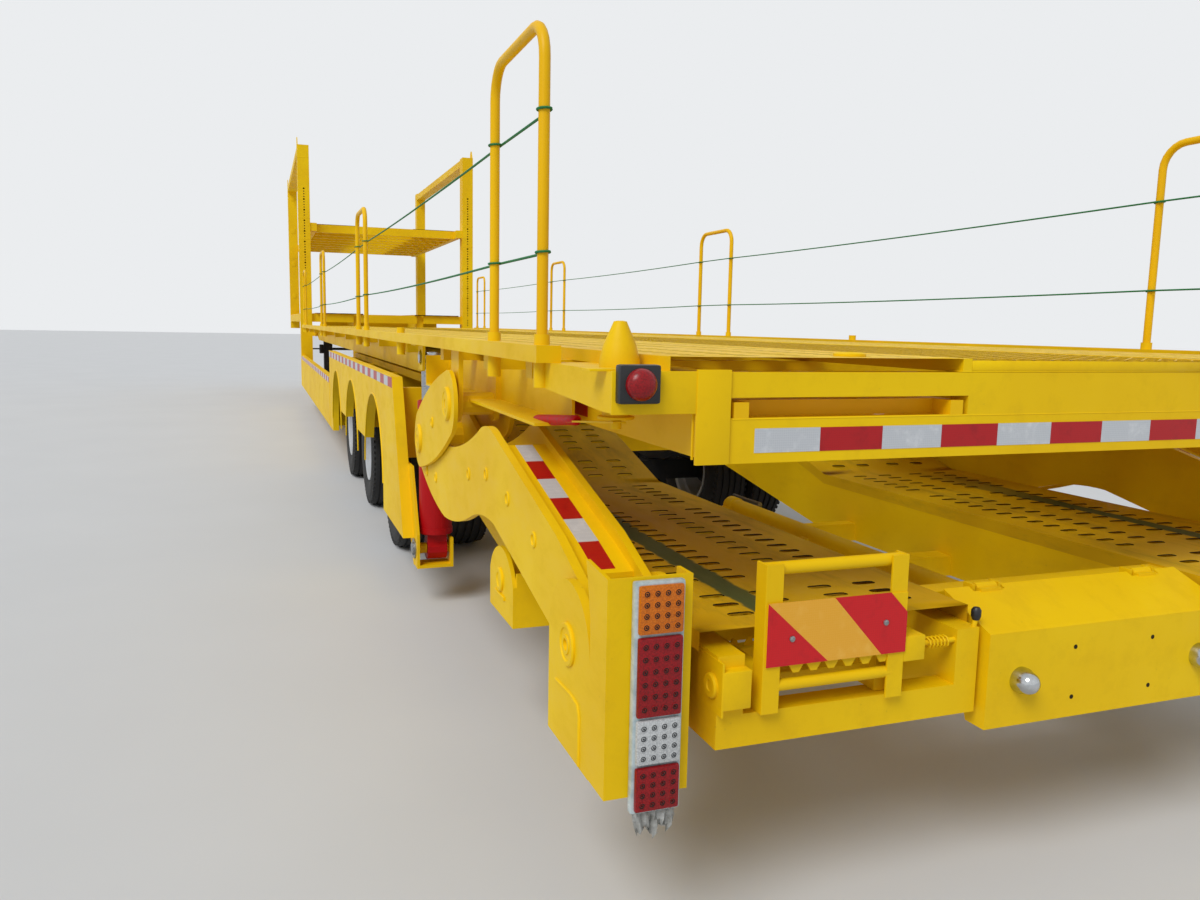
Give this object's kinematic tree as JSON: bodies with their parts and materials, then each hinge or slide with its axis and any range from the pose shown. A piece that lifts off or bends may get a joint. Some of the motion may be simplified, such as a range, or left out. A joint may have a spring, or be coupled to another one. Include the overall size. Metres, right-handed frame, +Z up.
{
  "type": "car transporter semi-trailer",
  "caption": "Yellow double-deck car transporter semi-trailer on twin wheels, with a hinged upper deck, lift arms at the tail and a front gantry.",
  "frame": {"origin": "on the ground, under the middle of the trailer's length and width", "axes": "+X forward towards the kingpin, +Y to the left, +Z up"},
  "size_m": [17.5, 2.55, 3.89],
  "materials": {
    "yellow_enamel": "gloss chrome-yellow enamel, chipped and dusty",
    "runway_enamel": "worn yellow enamel, scuffed by tyres",
    "hoop_enamel": "yellow enamel on bent tube",
    "lamp_lens": "moulded lamp lens in a black housing",
    "polished_lamp": "bright domed lamp housing",
    "black_paint": "satin black chassis paint",
    "machined_steel": "ground and hard-chromed steel",
    "red_cylinder": "gloss red enamel on a cylinder barrel",
    "tyre_rubber": "moulded road tyre, dusty",
    "wheel_silver": "silver-painted pressed wheel"
  },
  "bodies": {
    "chassis": {"side_frames": "yellow_enamel", "chassis_beams": "yellow_enamel", "rising_beams": "yellow_enamel", "chassis_cross_members": "yellow_enamel", "arm_seats": "yellow_enamel", "cover_carrier": "yellow_enamel", "rear_posts": "yellow_enamel", "foot_brackets": "yellow_enamel", "loading_ramps": "yellow_enamel", "bulkhead": "yellow_enamel", "gantry_sides": "yellow_enamel", "lower_runways": "runway_enamel", "tail_runways": "runway_enamel", "tail_cylinder": "black_paint", "rear_lamps": "lamp_lens", "coupler_plate": "black_paint", "kingpin": "machined_steel", "landing_legs": "black_paint", "axles": "black_paint"},
    "upper_deck": {"deck_rails": "yellow_enamel", "deck_cross_members": "yellow_enamel", "deck_rear_bar": "yellow_enamel", "deck_pockets": "yellow_enamel", "rod_brackets": "yellow_enamel", "corner_brackets": "yellow_enamel", "deck_runways": "runway_enamel", "deck_hoops": "hoop_enamel", "deck_lamps": "lamp_lens"},
    "front_platform": {"front_platform": "yellow_enamel", "platform_runways": "runway_enamel"},
    "tail_cover": {"tail_cover": "yellow_enamel", "cover_lamps": "polished_lamp"},
    "lift_arm_left": {"lift_arm_left": "yellow_enamel"},
    "disc_link_left": {"disc_link_left": "yellow_enamel"},
    "barrel_left": {"cylinder_barrel_left": "red_cylinder"},
    "stage_left": {"cylinder_stage_left": "machined_steel"},
    "rod_left": {"cylinder_rod_left": "machined_steel"},
    "extension_left": {"deck_extension_left": "hoop_enamel"},
    "wheels_left_rear": {"wheels_left_rear": "wheel_silver", "tyres_left_rear": "tyre_rubber"},
    "wheels_left_middle": {"wheels_left_middle": "wheel_silver", "tyres_left_middle": "tyre_rubber"},
    "wheels_left_front": {"wheels_left_front": "wheel_silver", "tyres_left_front": "tyre_rubber"},
    "lift_arm_right": {"lift_arm_right": "yellow_enamel"},
    "disc_link_right": {"disc_link_right": "yellow_enamel"},
    "barrel_right": {"cylinder_barrel_right": "red_cylinder"},
    "stage_right": {"cylinder_stage_right": "machined_steel"},
    "rod_right": {"cylinder_rod_right": "machined_steel"},
    "extension_right": {"deck_extension_right": "hoop_enamel"},
    "wheels_right_rear": {"wheels_right_rear": "wheel_silver", "tyres_right_rear": "tyre_rubber"},
    "wheels_right_middle": {"wheels_right_middle": "wheel_silver", "tyres_right_middle": "tyre_rubber"},
    "wheels_right_front": {"wheels_right_front": "wheel_silver", "tyres_right_front": "tyre_rubber"}
  },
  "joints": [
    {"name": "deck_lift", "type": "hinge", "parent": "chassis", "child": "upper_deck", "pos_m": [4.025, 0, 1.12], "axis": [0, 1, 0], "range_deg": [0, 6]},
    {"name": "arm_swing_left", "type": "hinge", "parent": "chassis", "child": "lift_arm_left", "pos_m": [-8.487, 1.164, 0.607], "axis": [0, -1, 0], "range_deg": [0, 24.43]},
    {"name": "link_swing_left", "type": "hinge", "parent": "lift_arm_left", "child": "disc_link_left", "pos_m": [-6.515, 1.164, 0.81], "axis": [0, 1, 0], "range_deg": [0, 69.3]},
    {"name": "barrel_tilt_left", "type": "hinge", "parent": "chassis", "child": "barrel_left", "pos_m": [-6.095, 1.13, 0.255], "axis": [0, 1, 0], "range_deg": [0, 1.65]},
    {"name": "stage_slide_left", "type": "slide", "parent": "barrel_left", "child": "stage_left", "axis": [0, 0, 1], "range_m": [0, 0.52941]},
    {"name": "rod_slide_left", "type": "slide", "parent": "stage_left", "child": "rod_left", "axis": [0, 0, 1], "range_m": [0, 0.52941]},
    {"name": "extension_slide_left", "type": "slide", "parent": "upper_deck", "child": "extension_left", "axis": [-1, 0, 0], "range_m": [0, 0.5]},
    {"name": "wheel_spin_left_rear", "type": "hinge", "parent": "chassis", "child": "wheels_left_rear", "pos_m": [-4.935, 0.928, 0.395], "axis": [0, 1, 0], "continuous": true},
    {"name": "wheel_spin_left_middle", "type": "hinge", "parent": "chassis", "child": "wheels_left_middle", "pos_m": [-3.625, 0.928, 0.395], "axis": [0, 1, 0], "continuous": true},
    {"name": "wheel_spin_left_front", "type": "hinge", "parent": "chassis", "child": "wheels_left_front", "pos_m": [-2.315, 0.928, 0.395], "axis": [0, 1, 0], "continuous": true},
    {"name": "arm_swing_right", "type": "hinge", "parent": "chassis", "child": "lift_arm_right", "pos_m": [-8.487, -1.164, 0.607], "axis": [0, -1, 0], "range_deg": [0, 24.43]},
    {"name": "link_swing_right", "type": "hinge", "parent": "lift_arm_right", "child": "disc_link_right", "pos_m": [-6.515, -1.164, 0.81], "axis": [0, 1, 0], "range_deg": [0, 69.3]},
    {"name": "barrel_tilt_right", "type": "hinge", "parent": "chassis", "child": "barrel_right", "pos_m": [-6.095, -1.13, 0.255], "axis": [0, 1, 0], "range_deg": [0, 1.65]},
    {"name": "stage_slide_right", "type": "slide", "parent": "barrel_right", "child": "stage_right", "axis": [0, 0, 1], "range_m": [0, 0.52941]},
    {"name": "rod_slide_right", "type": "slide", "parent": "stage_right", "child": "rod_right", "axis": [0, 0, 1], "range_m": [0, 0.52941]},
    {"name": "extension_slide_right", "type": "slide", "parent": "upper_deck", "child": "extension_right", "axis": [-1, 0, 0], "range_m": [0, 0.5]},
    {"name": "wheel_spin_right_rear", "type": "hinge", "parent": "chassis", "child": "wheels_right_rear", "pos_m": [-4.935, -0.928, 0.395], "axis": [0, 1, 0], "continuous": true},
    {"name": "wheel_spin_right_middle", "type": "hinge", "parent": "chassis", "child": "wheels_right_middle", "pos_m": [-3.625, -0.928, 0.395], "axis": [0, 1, 0], "continuous": true},
    {"name": "wheel_spin_right_front", "type": "hinge", "parent": "chassis", "child": "wheels_right_front", "pos_m": [-2.315, -0.928, 0.395], "axis": [0, 1, 0], "continuous": true},
    {"name": "platform_lift", "type": "slide", "parent": "chassis", "child": "front_platform", "axis": [0, 0, 1], "range_m": [-1.1, 0.9]},
    {"name": "cover_hinge", "type": "hinge", "parent": "chassis", "child": "tail_cover", "pos_m": [-8.555, 0, 0.67], "axis": [0, 1, 0], "range_deg": [0, 100]}
  ],
  "couplings": [
    {"joint": "arm_swing_left", "follows": "deck_lift", "ratio": 4.0702},
    {"joint": "link_swing_left", "follows": "deck_lift", "ratio": 11.549},
    {"joint": "barrel_tilt_left", "follows": "deck_lift", "ratio": 0.27496},
    {"joint": "stage_slide_left", "follows": "deck_lift", "m_per_rad": 5.0546},
    {"joint": "rod_slide_left", "follows": "deck_lift", "m_per_rad": 5.0546},
    {"joint": "arm_swing_right", "follows": "deck_lift", "ratio": 4.0702},
    {"joint": "link_swing_right", "follows": "deck_lift", "ratio": 11.549},
    {"joint": "barrel_tilt_right", "follows": "deck_lift", "ratio": 0.27496},
    {"joint": "stage_slide_right", "follows": "deck_lift", "m_per_rad": 5.0546},
    {"joint": "rod_slide_right", "follows": "deck_lift", "m_per_rad": 5.0546}
  ]
}
